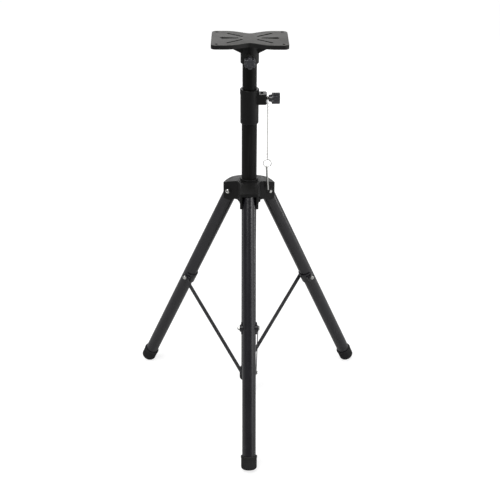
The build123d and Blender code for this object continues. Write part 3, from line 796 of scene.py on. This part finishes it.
bolts = {
    "pivot_bolt": {
        "body": "hub", "hinge": "_leg_fold", "shank": 0.0040, "head": 0.00625, "height": 0.0040,
        "socket": 0.0050, "nut": 0.0130, "nutName": "pivot_nut", "nutFinish": "darkSteel"},
    "bracket_bolt": {
        "body": "{}_leg", "hinge": "_strut_fold", "shank": 0.0030, "head": 0.0060, "height": 0.0032,
        "socket": 0.0040, "nut": 0.0100, "nutName": "bracket_nut", "nutFinish": "brightSteel"},
    "strut_screw": {
        "body": "{}_strut", "shank": 0.0030, "head": 0.0050, "height": 0.0032, "socket": 0.0040},
}

headShape = {       # shares of the head's height, and of the socket's width
    "flare": 0.62, "socketDepth": 0.6, "socketEnd": 0.75, "rimWidth": 0.78, "corners": 0.6,
}
nutShape = {"collarTop": 0.40, "collarFoot": 0.44, "chamfer": 0.485}        # shares of the width over flats


def boltPoint(name, node, b):
    # a point on the axis of a bolt: its hinge, or the middle of the piece
    return Vector(joints[name + b["hinge"]]["pos_m"]) if "hinge" in b else middle(node)


def makeBolt(name, kind, b):
    node = f"{name}_{kind}"
    across, point = legAxes(name)[2], boltPoint(name, node, b)
    low, high, _ = span(node, point, across)
    shank, head, height = b["shank"], b["head"], b["height"]
    under, flare = high - height, height * headShape["flare"]
    outline = [(low, shank - 0.0006), (low + 0.0006, shank), (under - 0.0001, shank),
               (under, head - 0.0003), (under + 0.0003, head), (high - flare, head - 0.0001)]
    for i in range(1, 8):
        t = pi / 2 * i / 7
        radius = head - 0.0001 - (head - b["socket"] * headShape["rimWidth"]) * (1 - cos(t))
        outline.append((high - flare + flare * sin(t), radius))
    inner = hexagon(b["socket"], b["socket"] * headShape["corners"])
    outline += [(high - 0.0001, lambda angle: inner(angle) + 0.0002), (high - 0.0003, inner),
                (high - height * headShape["socketDepth"], inner),
                (high - height * headShape["socketEnd"], 0.0006)]
    mesh = ringMesh(node + "Mesh", turnedRings(outline), angle=28)
    mesh.transform(frameAlong(point, across, upwards))
    finish = "darkSteel" if node == "front_pivot_bolt" else "brightSteel"
    return meshPiece(node + "Button", mesh, finish, b["body"].format(name), node)


def nutSide(flats, limit):
    # a hexagon with a corner at angle 0, its corners turned down to limit
    side = hexagon(flats, limit)
    return lambda angle: side(angle + pi / 6)


def nutFrame(node, origin, axis):
    # matrix along a nut's axis, with local X to the corner that lies farthest out
    corner = max((vertex.co for vertex in frame["nodes"][node].data.vertices),
                 key=lambda co: (co - origin - axis * (co - origin).dot(axis)).length)
    spoke = corner - origin
    return frameAlong(origin, axis, spoke - axis * spoke.dot(axis))


def makeNut(name, b):
    # hexagon nut with chamfered corners and a rounded locking collar on its open end
    node = f"{name}_{b['nutName']}"
    across, point = legAxes(name)[2], boltPoint(name, node, b)
    low, high, _ = span(node, point, across)
    flats, hole = b["nut"], b["shank"] + 0.0001
    full, turned = nutSide(flats, flats / 2 / cos(pi / 6)), nutSide(flats, flats * nutShape["chamfer"])
    outline = [(low, hole), (low, hole + 0.0009), (low + 0.0003, flats * nutShape["collarTop"]),
               (low + 0.0012, flats * nutShape["collarFoot"]), (low + 0.0014, turned), (low + 0.0020, full),
               (high - 0.0005, full), (high, turned), (high, hole)]
    mesh = ringMesh(node + "Mesh", turnedRings(outline, 72), closed=True, angle=28)
    mesh.transform(nutFrame(node, point, across))
    return meshPiece(node + "Lock", mesh, b["nutFinish"], b["body"].format(name), node)


for name in legNames:
    for kind, b in bolts.items():
        makeBolt(name, kind, b)
        if "nutName" in b:
            makeNut(name, b)
print("bolts and nuts")

# nuts of the clamp screws, caught in their pockets

clampNut = {"flats": 0.013, "hole": 0.0041}


def makeClampNut(name, jointName, body):
    node, joint = name + "_nut", joints[jointName]
    origin, axis = Vector(joint["pos_m"]), Vector(joint["axis"])
    low, high, _ = span(node, origin, axis)
    flats, hole = clampNut["flats"], clampNut["hole"]
    full, turned = nutSide(flats, flats / 2 / cos(pi / 6)), nutSide(flats, flats * 0.50)
    outline = [(low, hole), (low, flats * nutShape["chamfer"]), (low, turned), (low + 0.0006, full),
               (high - 0.0006, full), (high, turned), (high, hole + 0.0006), (high - 0.0005, hole)]
    mesh = ringMesh(node + "Mesh", turnedRings(outline, 72), closed=True, angle=28)
    mesh.transform(nutFrame(node, origin, axis))
    return meshPiece(node + "Hex", mesh, "screwSteel", body, node)


for name, (jointName, _) in knobs.items():
    makeClampNut(name, jointName, frame["nodes"][name + "_nut"]["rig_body"])
print("clamp nuts")

# moulded, cast and stamped pieces keep their CAD shape with softened edges

softEdges = {
    "speaker_plate": ("plateCoat", 0.0006), "hub": ("mouldedPlastic", 0.0006),
    "collar": ("mouldedPlastic", 0.0004), "strut_ring": ("mouldedPlastic", 0.0005),
    "mast_end_plug": ("footRubber", 0.0003),
}
for node, (material, width) in softEdges.items():
    softened(node, material, width)
for name in legNames:
    softened(name + "_leg_bracket", "legPaint", 0.0006)
    softened(name + "_strut", "strutPaint", 0.0003)
print("softened pieces")

# tubes and plugs stay as they are, with their own finish

tubeFinish = {
    "mast_tube": "mastPaint", "pole_tube": "polePaint", "pole_bush": "mouldedPlastic",
    "{}_leg_tube": "legPaint", "{}_leg_plug": "mouldedPlastic",
}
for pattern, material in tubeFinish.items():
    for node in dict.fromkeys(pattern.format(name) for name in legNames):
        obj = frame["nodes"][node]
        obj.data.materials.clear()
        obj.data.materials.append(materials[material])
print("tube finishes")

# floor, backdrop and lights

studio = {
    "floor": (0.50, 0.50, 0.50), "floorShade": (0.47, 0.47, 0.47), "glow": 0.72, "backdrop": 1.0,
    "surroundings": 0.16, "floorSize": 16.0, "floorRoughness": 0.9,
}
lights = {      # place, aimed at, width and height, watts
    "keySoftbox": ((-1.5, -1.9, 2.3), (0, 0, 0.7), (0.8, 0.8), 16),
    "fillSoftbox": ((1.9, -1.6, 1.9), (0, 0, 0.6), (0.8, 0.8), 12),
    "rightWall": ((2.0, -1.1, 0.95), (0, 0, 0.4), (1.6, 1.8), 9),
    "rightStrip": ((1.95, 0.35, 0.85), (0, 0, 0.5), (0.2, 1.7), 5),
    "backWall": ((0.0, 3.2, 1.9), (0, 0, 1.0), (3.0, 1.6), 34),
}
sun = {"strength": 1.5, "from": (-0.35, -0.25, 1.0), "softness": 50}


def areaLight(name, place, target, size, watts):
    data = bpy.data.lights.new(name, "AREA")
    data.shape, data.energy = "RECTANGLE", watts
    data.size, data.size_y = size
    obj = linked(bpy.data.objects.new(name, data))
    obj.matrix_world = frameAlong(place, Vector(place) - Vector(target), (-place[1], place[0], 0))
    obj.visible_camera = False
    return obj


def makeFloor():
    half = studio["floorSize"] / 2
    bm = bmesh.new()
    corners = [bm.verts.new((x * half, y * half, 0)) for x, y in ((-1, -1), (1, -1), (1, 1), (-1, 1))]
    bm.faces.new(corners)
    bmesh.ops.subdivide_edges(bm, edges=bm.edges, cuts=6, use_grid_fill=True)
    mesh = bpy.data.meshes.new("paleFloor")
    bm.to_mesh(mesh)
    bm.free()
    material = bpy.data.materials.new("paleFloor")
    material.use_nodes = True
    tree = material.node_tree
    shader = tree.nodes["Principled BSDF"]
    place = tree.nodes.new("ShaderNodeTexCoord").outputs["Object"]
    shade = mixed(tree, noise(tree, place, 1.5, 3.0), studio["floorShade"], studio["floor"])
    tree.links.new(shade, shader.inputs["Base Color"])
    shader.inputs["Roughness"].default_value = studio["floorRoughness"]
    shader.inputs["Specular IOR Level"].default_value = 0.0
    # only the camera sees this glow, so the floor is white without lighting the stand from below
    glow = add(tree, "ShaderNodeEmission", {"Color": (1, 1, 1, 1)})
    seen = tree.nodes.new("ShaderNodeLightPath").outputs["Is Camera Ray"]
    tree.links.new(reckon(tree, "MULTIPLY", seen, studio["glow"]), glow.inputs["Strength"])
    both = tree.nodes.new("ShaderNodeAddShader")
    tree.links.new(shader.outputs[0], both.inputs[0])
    tree.links.new(glow.outputs[0], both.inputs[1])
    tree.links.new(both.outputs[0], tree.nodes["Material Output"].inputs["Surface"])
    mesh.materials.append(material)
    linked(bpy.data.objects.new("paleFloor", mesh))


def makeWorld():
    world = bpy.data.worlds.new("paleRoom")
    bpy.context.scene.world = world
    world.use_nodes = True
    tree = world.node_tree
    background = tree.nodes["Background"]
    seen = tree.nodes.new("ShaderNodeLightPath").outputs["Is Camera Ray"]
    shade = spread(tree, seen, 0.0, 1.0, studio["surroundings"], studio["backdrop"])
    tree.links.new(shade, background.inputs["Strength"])
    background.inputs["Color"].default_value = (1, 1, 1, 1)


makeFloor()
makeWorld()
for name, (place, target, size, watts) in lights.items():
    areaLight(name, place, target, size, watts)
sunData = bpy.data.lights.new("softSun", "SUN")
sunData.energy, sunData.angle = sun["strength"], radians(sun["softness"])
linked(bpy.data.objects.new("softSun", sunData)).matrix_world = frameAlong((0, 0, 3), sun["from"])
bpy.context.scene.view_settings.view_transform = "Standard"
print("floor, world and lights")
